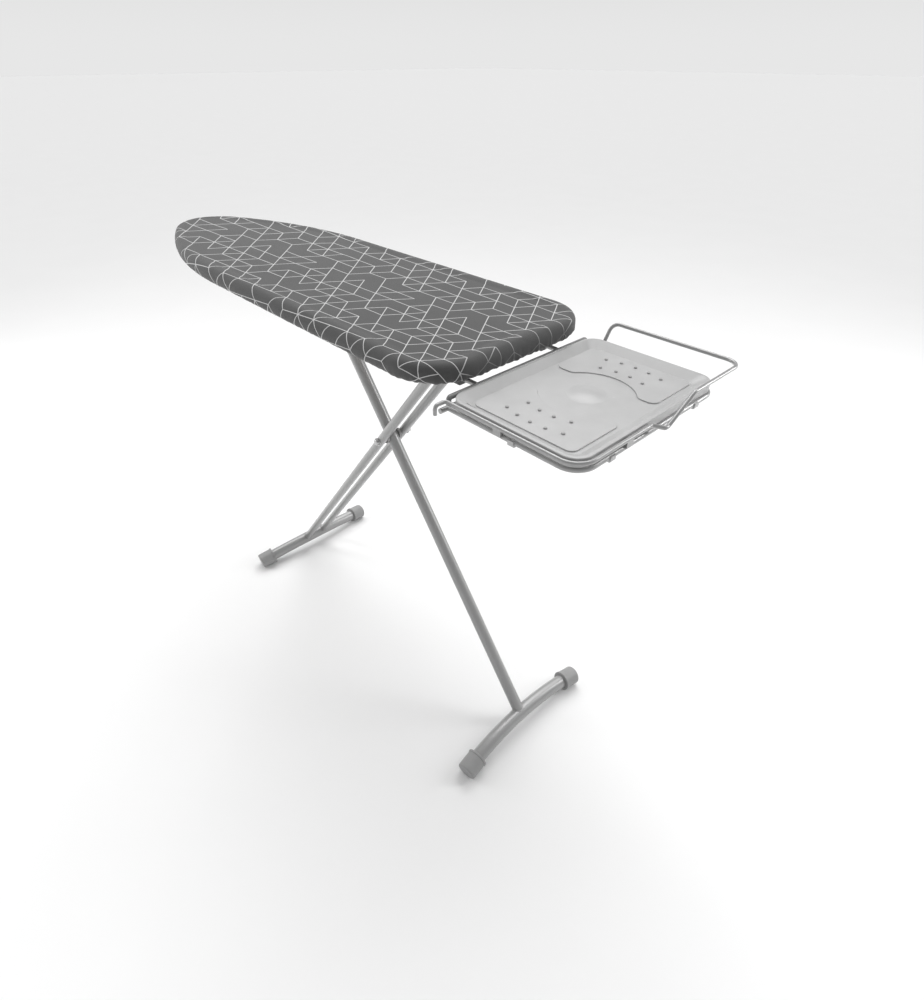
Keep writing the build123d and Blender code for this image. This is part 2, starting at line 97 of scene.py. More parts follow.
# ============================ node helpers ================================
class Graph:
    """Short ways to add shader nodes to one material."""

    def __init__(self, material):
        self.tree = material.node_tree
        self.shader = self.tree.nodes["Principled BSDF"]

    def add(self, kind, **settings):
        """A new node with its settings."""
        node = self.tree.nodes.new(kind)
        for key, value in settings.items():
            setattr(node, key, value)
        return node

    def feed(self, socket, value):
        """Sets a socket to a number or colour, or links another node's output to it."""
        if isinstance(value, (int, float, tuple)):
            socket.default_value = value
        else:
            self.tree.links.new(value, socket)

    def math(self, operation, *values):
        node = self.add("ShaderNodeMath", operation=operation)
        for socket, value in zip(node.inputs, values):
            self.feed(socket, value)
        return node.outputs[0]

    def noise(self, vector, scale, detail, rough):
        node = self.add("ShaderNodeTexNoise")
        self.feed(node.inputs["Vector"], vector)
        self.feed(node.inputs["Scale"], scale)
        self.feed(node.inputs["Detail"], detail)
        self.feed(node.inputs["Roughness"], rough)
        return node.outputs["Fac"]

    def span(self, value, low, high, to_low=0.0, to_high=1.0, smooth=False):
        """Maps low..high to to_low..to_high, and stays at the ends beyond them."""
        node = self.add("ShaderNodeMapRange")
        if smooth:
            node.interpolation_type = "SMOOTHSTEP"
        for name, item in (("Value", value), ("From Min", low), ("From Max", high),
                           ("To Min", to_low), ("To Max", to_high)):
            self.feed(node.inputs[name], item)
        return node.outputs["Result"]

    def mix(self, factor, a, b):
        node = self.add("ShaderNodeMix", data_type="RGBA")
        self.feed(node.inputs["Factor"], factor)
        self.feed(node.inputs["A"], a)
        self.feed(node.inputs["B"], b)
        return node.outputs["Result"]

    def bump(self, height, strength, distance, normal=None):
        node = self.add("ShaderNodeBump")
        self.feed(node.inputs["Height"], height)
        self.feed(node.inputs["Strength"], strength)
        self.feed(node.inputs["Distance"], distance)
        if normal is not None:
            self.feed(node.inputs["Normal"], normal)
        return node.outputs["Normal"]

    def object_place(self):
        return self.add("ShaderNodeTexCoord").outputs["Object"]

    def set(self, **values):
        """Feeds the shader's own sockets, named with _ for a space."""
        for name, value in values.items():
            self.feed(self.shader.inputs[name.replace("_", " ")], value)


def grey(value, warm=0.0):
    """Neutral colour, a little warm or cool."""
    return (value * (1 + warm), value, value * (1 - warm), 1.0)


def new_material(name):
    """An empty material and its graph."""
    material = bpy.data.materials.new(name)
    material.use_nodes = True
    return material, Graph(material)


# ============================ materials ===================================
def lattice_line(g, distance):
    """1 on a printed line, 0 beside it. Distance is in lattice steps."""
    return g.span(distance, LINE_HALF + LINE_SOFT, LINE_HALF - LINE_SOFT, smooth=True)


def print_bit(g, row, column, masks):
    """Looks up whether the repeat has the line that belongs to this lattice point."""
    row = g.math("FLOORED_MODULO", row, float(len(masks)))
    column = g.math("FLOORED_MODULO", column, float(PRINT_STEPS))
    picked = 0.0
    for i, mask in enumerate(masks):
        here = g.math("COMPARE", row, float(i), 0.5)
        picked = g.math("MULTIPLY_ADD", here, float(mask), picked)
    shifted = g.math("FLOOR", g.math("DIVIDE", picked, g.math("POWER", 2.0, column)))
    return g.math("MODULO", shifted, 2.0)


def print_masks(which):
    """One number per row of the repeat, whose bits say at which steps a line starts."""
    masks = []
    for row in PRINT_ROWS:
        masks.append(sum(2 ** i for i, mark in enumerate(row[which]) if mark == "1"))
    return masks


def printed_lines(g):
    """The geometric line print, from lattice places kept in the cover's UV map."""
    uv = g.add("ShaderNodeUVMap", uv_map="print")
    split = g.add("ShaderNodeSeparateXYZ")
    g.feed(split.inputs[0], uv.outputs[0])
    step, row = split.outputs[0], split.outputs[1]
    lines = []
    near_row = g.math("ROUND", row)
    odd = g.math("FLOORED_MODULO", near_row, 2.0)
    column = g.math("FLOOR", g.math("MULTIPLY_ADD", odd, -0.5, step))
    away = g.math("MULTIPLY", g.math("ABSOLUTE", g.math("SUBTRACT", row, near_row)), ROW_HEIGHT)
    lines.append(g.math("MULTIPLY", lattice_line(g, away), print_bit(g, near_row, column, print_masks(0))))
    top_row = g.math("FLOOR", row)
    for which, lean in ((1, -0.5), (2, 0.5)):
        slanted = g.math("MULTIPLY_ADD", row, lean, step)
        line = g.math("ROUND", slanted)
        away = g.math("MULTIPLY", g.math("ABSOLUTE", g.math("SUBTRACT", slanted, line)), ROW_HEIGHT)
        if which == 1:
            column = g.math("ADD", line, g.math("FLOOR", g.math("MULTIPLY", top_row, 0.5)))
        else:
            column = g.math("SUBTRACT", line, g.math("FLOOR", g.math("MULTIPLY_ADD", top_row, 0.5, 0.5)))
        bit = print_bit(g, top_row, column, print_masks(which))
        lines.append(g.math("MULTIPLY", lattice_line(g, away), bit))
    return g.math("MAXIMUM", lines[0], g.math("MAXIMUM", lines[1], lines[2]))


def weave(g, vector, pitch):
    """Plain weave height, 0 to 1, from flat cloth places in metres."""
    split = g.add("ShaderNodeSeparateXYZ")
    g.feed(split.inputs[0], vector)
    turn = 2 * math.pi / pitch
    warp = g.math("SINE", g.math("MULTIPLY", split.outputs[0], turn))
    weft = g.math("SINE", g.math("MULTIPLY", split.outputs[1], turn))
    return g.math("MULTIPLY_ADD", g.math("MULTIPLY", warp, weft), 0.5, 0.5)


def cotton_material():
    """Dark woven cotton with pale printed lines, which fade out along the tail's edge as painted shade."""
    material, g = new_material("cover_cotton")
    flat = g.add("ShaderNodeUVMap", uv_map="flat").outputs[0]
    lines = printed_lines(g)
    spot = g.add("ShaderNodeSeparateXYZ")
    g.feed(spot.inputs[0], flat)
    # Painted shade: along the tail's edge, away from the near corner, the pale lines fade into the dark
    # ground.
    painted_tail_shade = g.span(spot.outputs[0], TAIL_X - 24 * MM, TAIL_X + 12 * MM, 0.0, 0.8, smooth=True)
    off_corner = g.span(spot.outputs[1], -HALF + 45 * MM, -HALF + 85 * MM, smooth=True)
    lines = g.math("MULTIPLY", lines, g.math("SUBTRACT", 1.0, g.math("MULTIPLY", painted_tail_shade, off_corner)))
    threads = g.noise(flat, 900.0, 3.0, 0.6)
    cloudy = g.noise(flat, 9.0, 3.0, 0.5)
    ground = g.mix(g.span(threads, 0.3, 0.7), grey(0.055), grey(0.085))
    ground = g.mix(g.span(cloudy, 0.3, 0.7, 0.0, 0.25), ground, grey(0.10))
    ink = g.mix(g.span(threads, 0.25, 0.75), grey(0.56), grey(0.72))
    colour = g.mix(g.math("MULTIPLY", lines, 0.93), ground, ink)
    fine = weave(g, flat, 1.0 * MM)
    slub = g.noise(flat, 260.0, 4.0, 0.65)
    height = g.math("MULTIPLY_ADD", fine, 0.6, g.math("MULTIPLY", slub, 0.4))
    height = g.math("MULTIPLY_ADD", lines, 0.15, height)
    crease = g.noise(flat, 14.0, 2.0, 0.4)
    soft = g.bump(crease, 0.25, 0.6 * MM)
    g.set(Base_Color=colour, Roughness=g.span(threads, 0.2, 0.8, 0.78, 0.92),
          Normal=g.bump(height, 0.55, 0.18 * MM, soft))
    g.set(Sheen_Weight=0.18, Sheen_Roughness=0.5, Specular_IOR_Level=0.25)
    return material


def elastic_material():
    """Woven elastic band."""
    material, g = new_material("elastic")
    place = g.object_place()
    threads = g.noise(place, 700.0, 3.0, 0.6)
    g.set(Base_Color=g.mix(g.span(threads, 0.3, 0.7), grey(0.10), grey(0.16)),
          Roughness=0.88, Normal=g.bump(weave(g, place, 1.2 * MM), 0.5, 0.2 * MM))
    g.set(Sheen_Weight=0.2)
    return material


def foam_material():
    """Pale open-celled foam with a felted face, its cell hollows painted darker as painted shade."""
    material, g = new_material("foam")
    place = g.object_place()
    cells = g.add("ShaderNodeTexVoronoi")
    g.feed(cells.inputs["Vector"], place)
    g.feed(cells.inputs["Scale"], 650.0)
    hole = cells.outputs["Distance"]
    # Painted shade: the colour darkens towards each cell's hollow, where the bump sinks.
    tone = g.mix(g.span(hole, 0.1, 0.6), grey(0.55, 0.05), grey(0.80, 0.05))
    g.set(Base_Color=tone, Roughness=0.95, Normal=g.bump(hole, 0.8, 0.5 * MM))
    return material


def lacquer_material(name, low, high, metal, rough):
    """Silver-grey lacquer with fine metal flakes, orange peel and faint rubbing."""
    material, g = new_material(name)
    place = g.object_place()
    flakes = g.noise(place, 2600.0, 1.0, 0.5)
    rubbed = g.noise(place, 7.0, 4.0, 0.6)
    specks = g.noise(place, 160.0, 2.0, 0.5)
    colour = g.mix(g.span(flakes, 0.3, 0.7), grey(low), grey(high))
    colour = g.mix(g.span(rubbed, 0.55, 0.8, 0.0, 0.25), colour, grey(low * 0.75, 0.01))
    colour = g.mix(g.span(specks, 0.74, 0.8, 0.0, 0.35), colour, grey(low * 0.5))
    peel = g.noise(place, 220.0, 2.0, 0.5)
    gloss = g.span(rubbed, 0.2, 0.8, rough - 0.05, rough + 0.10)
    g.set(Base_Color=colour, Roughness=gloss, Normal=g.bump(peel, 0.10, 0.15 * MM))
    g.set(Metallic=metal, Coat_Weight=0.5, Coat_Roughness=0.12)
    return material


def plastic_material(name, low, high, rough, grain=900.0, depth=0.35, coat=0.0):
    """Moulded plastic with a fine spark-eroded grain and slight handling marks."""
    material, g = new_material(name)
    place = g.object_place()
    sand = g.noise(place, grain, 3.0, 0.6)
    patch = g.noise(place, 22.0, 4.0, 0.6)
    colour = g.mix(g.span(patch, 0.25, 0.75), grey(low), grey(high))
    scuff = g.noise(place, 75.0, 5.0, 0.7)
    colour = g.mix(g.span(scuff, 0.62, 0.75, 0.0, 0.2), colour, grey(high * 1.25))
    g.set(Base_Color=colour, Roughness=g.span(patch, 0.2, 0.8, rough - 0.06, rough + 0.08),
          Normal=g.bump(sand, depth, 0.12 * MM))
    g.set(Coat_Weight=coat, Coat_Roughness=0.3)
    return material


def zinc_material():
    """Bright zinc plate with blotchy spangle and drawn streaks."""
    material, g = new_material("zinc_steel")
    place = g.object_place()
    spangle = g.noise(place, 130.0, 3.0, 0.6)
    streak = g.noise(place, 900.0, 2.0, 0.5)
    colour = g.mix(g.span(spangle, 0.3, 0.7), grey(0.42, 0.01), grey(0.60, -0.01))
    g.set(Base_Color=colour, Roughness=g.span(spangle, 0.3, 0.7, 0.26, 0.46),
          Normal=g.bump(streak, 0.15, 0.1 * MM))
    g.set(Metallic=0.9)
    return material


def rubber_material():
    """Dusty grey rubber."""
    material, g = new_material("stud_rubber")
    place = g.object_place()
    dust = g.noise(place, 500.0, 3.0, 0.6)
    g.set(Base_Color=g.mix(g.span(dust, 0.3, 0.7), grey(0.34), grey(0.42)), Roughness=0.6,
          Normal=g.bump(dust, 0.3, 0.1 * MM))
    return material


MATERIALS = {
    "cover_cotton": cotton_material(),
    "foam": foam_material(),
    "elastic": elastic_material(),
    "deck_enamel": lacquer_material("deck_enamel", 0.20, 0.26, 0.35, 0.42),
    "zinc_steel": zinc_material(),
    "leg_lacquer": lacquer_material("leg_lacquer", 0.29, 0.36, 0.32, 0.34),
    "cap_plastic": plastic_material("cap_plastic", 0.27, 0.31, 0.46),
    "dark_plastic": plastic_material("dark_plastic", 0.035, 0.05, 0.45),
    "tray_shell": plastic_material("tray_shell", 0.42, 0.47, 0.34, 1400.0, 0.25, 0.25),
    "stud_rubber": rubber_material(),
    "rest_lacquer": lacquer_material("rest_lacquer", 0.29, 0.36, 0.35, 0.30),
    "dark_lacquer": lacquer_material("dark_lacquer", 0.17, 0.21, 0.35, 0.38),
}


def dress_cad_nodes():
    """Gives every CAD node the finish of its own material slot."""
    slots = {s["node"]: s["material_slot"] for s in frame["record"]["subparts"]}
    for name, obj in nodes.items():
        obj.data.materials.clear()
        obj.data.materials.append(MATERIALS[slots[name]])


# ============================ mesh helpers ================================
def mesh_piece(name, points, faces, material, body, smooth=True):
    """A named mesh that rides on a body."""
    mesh = bpy.data.meshes.new(name)
    mesh.from_pydata([tuple(p) for p in points], [], faces)
    mesh.materials.append(MATERIALS[material])
    if smooth:
        mesh.polygons.foreach_set("use_smooth", [True] * len(mesh.polygons))
    obj = bpy.data.objects.new(name, mesh)
    bpy.context.scene.collection.objects.link(obj)
    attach(obj, body)
    return obj


def face_outward(obj):
    """Turns every face of a closed mesh to the outside."""
    bm = bmesh.new()
    bm.from_mesh(obj.data)
    bmesh.ops.recalc_face_normals(bm, faces=bm.faces)
    bm.to_mesh(obj.data)
    bm.free()


def ring_faces(rings, count):
    """Quads between rings of points that follow each other."""
    faces = []
    for r in range(rings - 1):
        for i in range(count):
            j = (i + 1) % count
            faces.append((r * count + i, r * count + j, (r + 1) * count + j, (r + 1) * count + i))
    return faces


def loop_faces(count, around):
    """Quads of a closed hose: count sections that follow each other in a loop, each of around points."""
    faces = []
    for i in range(count):
        j = (i + 1) % count
        for k in range(around):
            m = (k + 1) % around
            faces.append((i * around + k, i * around + m, j * around + m, j * around + k))
    return faces


def distance_along(loop):
    """How far each point of a closed loop lies from its first point, along the loop."""
    step = np.linalg.norm(np.roll(loop, -1, axis=0) - loop, axis=1)
    return np.concatenate([[0.0], np.cumsum(step)[:-1]])


def arc_chain(start, heading, turns):
    """Points along arcs that turn clockwise, each given as (radius, angle)."""
    points = [start]
    x, y = start
    for radius, angle in turns:
        cx = x + radius * math.sin(heading)
        cy = y - radius * math.cos(heading)
        count = max(8, int(radius * angle / (3 * MM)))
        for i in range(1, count + 1):
            h = heading - angle * i / count
            points.append((cx - radius * math.sin(h), cy + radius * math.cos(h)))
        heading -= angle
        x, y = points[-1]
    return points


def deck_outline(count):
    """Evenly spaced points round the deck's edge and the outward directions there."""
    rest = math.pi / 2 - NOSE_TIP_TURN - SHOULDER_TURN
    nose = [(NOSE_TIP_R, NOSE_TIP_TURN), (SHOULDER_R, SHOULDER_TURN)]
    nose_half = arc_chain((NOSE_X, 0.0), math.pi / 2, nose)[-1][1]
    flank_r = (HALF - nose_half) / (1 - math.cos(rest))
    far = arc_chain((NOSE_X, 0.0), math.pi / 2, nose + [(flank_r, rest)])
    far += arc_chain((TAIL_X - TAIL_R, HALF), 0.0, [(TAIL_R, math.pi / 2)])
    loop = np.array(far + [(x, -y) for x, y in reversed(far[1:])])
    closed = np.vstack([loop, loop[:1]])
    along = np.concatenate([[0], np.cumsum(np.hypot(*np.diff(closed, axis=0).T))])
    wanted = np.linspace(0, along[-1], count, endpoint=False)
    points = np.stack([np.interp(wanted, along, closed[:, i]) for i in (0, 1)], axis=1)
    ahead = np.roll(points, -1, axis=0) - np.roll(points, 1, axis=0)
    outward = np.stack([-ahead[:, 1], ahead[:, 0]], axis=1)
    outward /= np.linalg.norm(outward, axis=1)[:, None]
    return points, outward


def print_mapping():
    """Projective map from deck plan places to the print's steps and rows."""
    pairs = (((TAIL_X, HALF), PRINT_TAIL_FAR), ((TAIL_X, -HALF), PRINT_TAIL_NEAR),
             ((NOSE_X, HALF), PRINT_NOSE_FAR), ((NOSE_X, -HALF), PRINT_NOSE_NEAR))
    rows, wanted = [], []
    for (x, y), (step, row) in pairs:
        rows.append([x, y, 1, 0, 0, 0, -step * x, -step * y])
        rows.append([0, 0, 0, x, y, 1, -row * x, -row * y])
        wanted += [step, row]
    return np.append(np.linalg.solve(np.array(rows), np.array(wanted)), 1).reshape(3, 3)


def add_uv(obj, name, places):
    """UV map from one place per vertex."""
    layer = obj.data.uv_layers.new(name=name)
    index = np.zeros(len(obj.data.loops), np.int32)
    obj.data.loops.foreach_get("vertex_index", index)
    layer.data.foreach_set("uv", places[index].astype(np.float32).ravel())


# ============================ cotton cover ================================
EDGE_BAND = 66 * MM
HEM_POINTS = 1300
# Rows of points across the edge: flat on the top, round each bend, and under the hem.
FLAT_ROWS = 9
FLAT_PITCH = 6 * MM
BEND_ROWS = 7
HEM_ROWS = 4
HEM_DROP = 1.2 * MM
INNER_ROW = -1
FILL_PITCH = 7 * MM
# Folds over the hem, largest at the tail and the nose.
FOLD_OUT = 1.15 * MM
FOLD_REST = 0.35 * MM
FOLD_LIFT = 1.0 * MM
TAIL_FOLDS = 130 * MM
NOSE_FOLDS = 200 * MM
# Rows that the cloth run holds, and the rows that get extra length.
SEWN_ROWS = 2
HELD_ROWS = 7
LOOSE_FROM = 10
LOOSE_OVER = 6
EXTRA_LENGTH = 0.10
SWELL_CAP = 2.2 * MM
SWELL_FRAMES = 20


def edge_profile():
    """Section across the cover's edge: (outward offset, height, length of cloth) from the top to the hem."""
    rows = [(-EDGE_BAND + i * FLAT_PITCH, DECK_TOP) for i in range(FLAT_ROWS)]
    bend = [math.radians(90 * i / (BEND_ROWS - 1)) for i in range(BEND_ROWS)]
    for turn in bend:
        rows.append((-TOP_ROUND + TOP_ROUND * math.sin(turn), DECK_TOP - TOP_ROUND * (1 - math.cos(turn))))
    rows.append((0.0, (DECK_TOP - TOP_ROUND + HEM_Z + HEM_ROUND) / 2))
    for turn in bend:
        rows.append((-HEM_ROUND + HEM_ROUND * math.cos(turn), HEM_Z + HEM_ROUND * (1 - math.sin(turn))))
    for i in range(1, HEM_ROWS + 1):
        rows.append((-HEM_ROUND - (HEM_TUCK - HEM_ROUND) * i / HEM_ROWS, HEM_Z + HEM_DROP * i / HEM_ROWS))
    length = [0.0]
    for a, b in zip(rows, rows[1:]):
        length.append(length[-1] + math.dist(a, b))
    return [(off, z, s) for (off, z), s in zip(rows, length)]


def inside(spot, loop):
    """Whether a plan place lies inside a closed loop of points."""
    x, y = spot
    a, b = loop, np.roll(loop, -1, axis=0)
    crosses = (a[:, 1] > y) != (b[:, 1] > y)
    with np.errstate(divide="ignore", invalid="ignore"):
        at = (b[:, 0] - a[:, 0]) * (y - a[:, 1]) / (b[:, 1] - a[:, 1]) + a[:, 0]
    return bool(np.count_nonzero(crosses & (x < at)) % 2)


def fill_plan(rim, pitch):
    """Triangles over the area inside a closed rim: extra inner spots, and faces that index rim then spots."""
    count = len(rim)
    middle = rim.mean(axis=0)
    ring_out = np.roll(rim, -1, axis=0) - np.roll(rim, 1, axis=0)
    normal = np.stack([-ring_out[:, 1], ring_out[:, 0]], axis=1)
    normal /= np.linalg.norm(normal, axis=1)[:, None]
    if ((rim + normal * pitch - middle) ** 2).sum() > ((rim - middle) ** 2).sum():
        normal = -normal
    limit = rim + normal * (pitch * 0.7)
    seeds = [Vector(p) for p in rim]
    low, high = rim.min(axis=0), rim.max(axis=0)
    for ix in range(int((high[0] - low[0]) / pitch) + 1):
        for iy in range(int((high[1] - low[1]) / pitch) + 1):
            spot = Vector((low[0] + ix * pitch, low[1] + iy * pitch + (ix % 2) * pitch / 2))
            if inside(spot, limit):
                seeds.append(spot)
    edges = [(i, (i + 1) % count) for i in range(count)]
    spots, _, cells, origin, _, _ = delaunay_2d_cdt(seeds, edges, [list(range(count))], 1, 1e-7)
    index, extra = {}, []
    for k, spot in enumerate(spots):
        first = origin[k][0] if origin[k] else count
        if first < count:
            index[k] = first
        else:
            index[k] = count + len(extra)
            extra.append((spot.x, spot.y))
    return np.array(extra), [tuple(index[k] for k in cell) for cell in cells]


def gather_wave(along, seed):
    """Uneven folds along the hem, -1 to 1: a few wavelengths that drift in and out of step."""
    rng = random.Random(seed)
    wave = np.zeros(len(along))
    for pitch, share in ((11.0, 0.30), (15.5, 0.36), (23.0, 0.42), (38.0, 0.30), (74.0, 0.25)):
        turns = round(along[-1] / (pitch * MM))
        wave += share * np.sin(2 * math.pi * turns * along / along[-1] + rng.uniform(0, 6.28))
    return wave


def cover_mesh():
    """Cover in its used shape, with the flat place of every point of cloth and its row in the edge."""
    edge, outward = deck_outline(HEM_POINTS)
    profile = edge_profile()
    along = distance_along(edge)
    folds = gather_wave(along, 7)
    drift = gather_wave(along, 21)
    tail = np.clip((edge[:, 0] - (TAIL_X - TAIL_FOLDS)) / (100 * MM), 0, 1)
    nose = np.clip(((NOSE_X + NOSE_FOLDS) - edge[:, 0]) / (160 * MM), 0, 1)
    strength = 0.35 + 0.70 * tail + 0.50 * nose
    points, flat, rows = [], [], []
    for r, (offset, z, length) in enumerate(profile):
        low = np.clip((DECK_TOP - 6 * MM - z) / (DECK_TOP - HEM_Z - 6 * MM), 0, 1)
        tuck = 0.0
        if z < DECK_TOP - TOP_ROUND:
            tuck = np.clip((-HEM_ROUND - offset) / (HEM_TUCK - HEM_ROUND), 0, 1)
        grow = (low ** 1.6) * (1 - 0.6 * tuck)
        push = (folds * FOLD_OUT - FOLD_REST) * strength * grow
        lift = drift * FOLD_LIFT * strength * grow * (1.0 if z < HEM_Z + HEM_ROUND else 0.0)
        ring = edge + outward * (offset + push)[:, None]
        for (x, y), up in zip(ring, lift):
            points.append((x, y, z + up))
        flat += list(edge + outward * (length - EDGE_BAND))
        rows += [r] * HEM_POINTS
    faces = ring_faces(len(profile), HEM_POINTS)
    rim = np.array([p[:2] for p in points[:HEM_POINTS]])
    extra, cells = fill_plan(rim, FILL_PITCH)
    base = len(points) - HEM_POINTS
    for x, y in extra:
        points.append((x, y, DECK_TOP))
        flat.append((x, y))
        rows.append(INNER_ROW)
    for cell in cells:
        faces.append(tuple(k if k < HEM_POINTS else k + base for k in cell))
    points, rows = np.array(points), np.array(rows)
    top = rows < FLAT_ROWS
    points[top, 2] += ripples(points[top, 0], points[top, 1])
    return points, np.array(flat), faces, rows, len(profile)


def ripples(x, y):
    """Slight unevenness of the stretched top, up to about half a millimetre."""
    rng = random.Random(11)
    height = np.zeros(len(x))
    for _ in range(16):
        angle = rng.uniform(0, math.pi)
        length = rng.uniform(0.05, 0.22)
        wave = 2 * math.pi * (x * math.cos(angle) + y * math.sin(angle)) / length
        height += np.sin(wave + rng.uniform(0, 6.28)) * length
    height *= 0.0004 / 0.55
    edge = np.clip((HALF - np.abs(y)) / 0.05, 0.15, 1)
    return height * edge


def places_of(obj):
    """Every point of a mesh, one row each."""
    places = np.empty(len(obj.data.vertices) * 3)
    obj.data.vertices.foreach_get("co", places)
    return places.reshape(-1, 3)


def weigh(obj, name, weights):
    """Vertex group from one weight per point."""
    group = obj.vertex_groups.new(name=name)
    for i, weight in enumerate(weights):
        if weight > 0:
            group.add([i], float(weight), "REPLACE")


def swell(obj, pinned, loosened, cap):
    """Runs cloth with a little pressure and keeps every point within the cap of where it started."""
    start = places_of(obj)
    weigh(obj, "hold", pinned)
    cloth = obj.modifiers.new("cloth", "CLOTH")
    cloth.settings.quality = 6
    cloth.settings.mass = 0.25
    cloth.settings.tension_stiffness = 25
    cloth.settings.compression_stiffness = 12
    cloth.settings.shear_stiffness = 6
    cloth.settings.bending_stiffness = 0.35
    cloth.settings.vertex_group_mass = "hold"
    cloth.settings.use_pressure = True
    cloth.settings.uniform_pressure_force = 4
    cloth.settings.effector_weights.gravity = 0
    weigh(obj, "loose", loosened)
    cloth.settings.vertex_group_shrink = "loose"
    cloth.settings.shrink_min = 0.0
    cloth.settings.shrink_max = -EXTRA_LENGTH
    scene = bpy.context.scene
    for step in range(1, SWELL_FRAMES + 1):
        scene.frame_set(step)
    moved = places_of(obj.evaluated_get(bpy.context.evaluated_depsgraph_get()))
    obj.modifiers.remove(cloth)
    scene.frame_set(1)
    shift = np.nan_to_num(moved - start)
    size = np.linalg.norm(shift, axis=1)
    limit = np.tanh(size / cap) * cap / np.maximum(size, 1e-9)
    obj.data.vertices.foreach_set("co", (start + shift * limit[:, None]).ravel())
    obj.data.update()


def make_cover():
    """Cotton cover, swelled a little as cloth, with the maps that its print and weave use."""
    points, flat, faces, rows, rings = cover_mesh()
    cover = mesh_piece("cover_cloth", points, faces, "cover_cotton", "board")
    face_outward(cover)
    sewn = rows >= rings - SEWN_ROWS
    held = (rows != INNER_ROW) & (rows < HELD_ROWS)
    pinned = np.select([sewn, held, rows == INNER_ROW], [1.0, 0.6, 0.5], 0.0)
    swell(cover, pinned, np.clip((rows - LOOSE_FROM) / LOOSE_OVER, 0, 1), SWELL_CAP)
    lifted = np.hstack([flat, np.ones((len(flat), 1))]) @ print_mapping().T
    add_uv(cover, "print", lifted[:, :2] / lifted[:, 2:])
    add_uv(cover, "flat", flat)
    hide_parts("cotton_cover")


# ============================ pad under the cover =========================
PAD_POINTS = 520
PAD_IN = 11 * MM
PAD_FACE_IN = 20 * MM
PAD_DIMPLE = 0.15 * MM


def make_pad():
    """Felted foam pad that lines the cover, with a rounded edge."""
    count = PAD_POINTS
    edge, outward = deck_outline(count)
    low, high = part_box("foam_pad")
    top, bottom = high.z - 0.5 * MM, low.z + 0.3 * MM
    half = (top - bottom) / 2
    points = []
    rows = [(-PAD_FACE_IN, top)]
    for i in range(9):
        turn = math.radians(-90 + 22.5 * i)
        rows.append((-PAD_IN + half * math.cos(turn), bottom + half - half * math.sin(turn)))
    rows.append((-PAD_FACE_IN, bottom))
    for offset, z in rows:
        points += [(x, y, z) for x, y in edge + outward * offset]
    faces = ring_faces(len(rows), count)
    for ring, z in ((0, top), (len(rows) - 1, bottom)):
        first = ring * count
        rim = np.array([p[:2] for p in points[first:first + count]])
        extra, cells = fill_plan(rim, 16 * MM)
        base = len(points) - count
        dimple = random.Random(5)
        for x, y in extra:
            points.append((x, y, z + dimple.uniform(-PAD_DIMPLE, PAD_DIMPLE)))
        for cell in cells:
            faces.append(tuple(first + k if k < count else k + base for k in cell))
    pad = mesh_piece("pad_felt", points, faces, "foam", "board")
    face_outward(pad)
    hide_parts("foam_pad")


# ============================ expanded steel deck =========================
MESH_LONG = 26 * MM
MESH_SHORT = 12 * MM
STRAND = 2.2 * MM
SHEET_POINTS = 420
BAND_OUT = 3 * MM
BAND_IN = 17 * MM
MESH_FROM = 15 * MM


def make_expanded_sheet():
    """Expanded steel sheet: diamond openings between slanted strands, with a plain edge band."""
    low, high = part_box("board_sheet")
    top, bottom = high.z, low.z
    edge, outward = deck_outline(SHEET_POINTS)
    band = ((BAND_OUT, top), (BAND_OUT, bottom), (BAND_IN, bottom), (BAND_IN, top), (BAND_OUT, top))
    points = []
    for inward, z in band:
        points += [(x, y, z) for x, y in edge - outward * inward]
    faces = ring_faces(len(band), SHEET_POINTS)
    limit = edge - outward * MESH_FROM
    nx = int((TAIL_X - NOSE_X) / MESH_SHORT) + 2
    ny = int(2 * HALF / MESH_LONG) + 2
    for ix in range(nx):
        for iy in range(-ny, ny + 1):
            x = NOSE_X + ix * MESH_SHORT
            y = (iy + 0.5 * (ix % 2)) * MESH_LONG
            for way in (-1, 1):
                end = (x + MESH_SHORT, y + way * MESH_LONG / 2)
                mid = ((x + end[0]) / 2, (y + end[1]) / 2)
                if abs(mid[1]) > HALF or not inside(mid, limit):
                    continue
                add_strand(points, faces, (x, y), end, bottom, top)
    sheet = mesh_piece("expanded_sheet", points, faces, "deck_enamel", "board", smooth=False)
    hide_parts("board_sheet")


def add_strand(points, faces, start, end, bottom, top):
    """One strand of the expanded sheet: a flat bar with wide bonds at its ends."""
    dx, dy = end[0] - start[0], end[1] - start[1]
    size = math.hypot(dx, dy)
    side = (-dy / size, dx / size)
    first = len(points)
    bond, bar = STRAND * 0.8, STRAND * 0.5
    for share, width in ((0.0, bond), (0.18, bar), (0.82, bar), (1.0, bond)):
        x, y = start[0] + dx * share, start[1] + dy * share
        for s, z in ((-1, bottom), (1, bottom), (1, top), (-1, top)):
            points.append((x + side[0] * width * s, y + side[1] * width * s, z))
    for k in range(3):
        a = first + 4 * k
        for c in range(4):
            d = (c + 1) % 4
            faces.append((a + c, a + d, a + 4 + d, a + 4 + c))


# ============================ weld beads ==================================
FOOT_R = 16 * MM
FOOT_RISE = 20 * MM
FOOT_END_Z = 19 * MM
OUTER_BEAD = 1.5 * MM
INNER_BEAD = 1.6 * MM
BEAD_POINTS = 72


def frame_of(direction):
    """Two directions square to a given one, and the direction itself."""
    w = Vector(direction).normalized()
    u = w.cross(Vector((0, 0, 1)))
    if u.length < 0.1:
        u = w.cross(Vector((1, 0, 0)))
    u.normalize()
    return u, w.cross(u), w


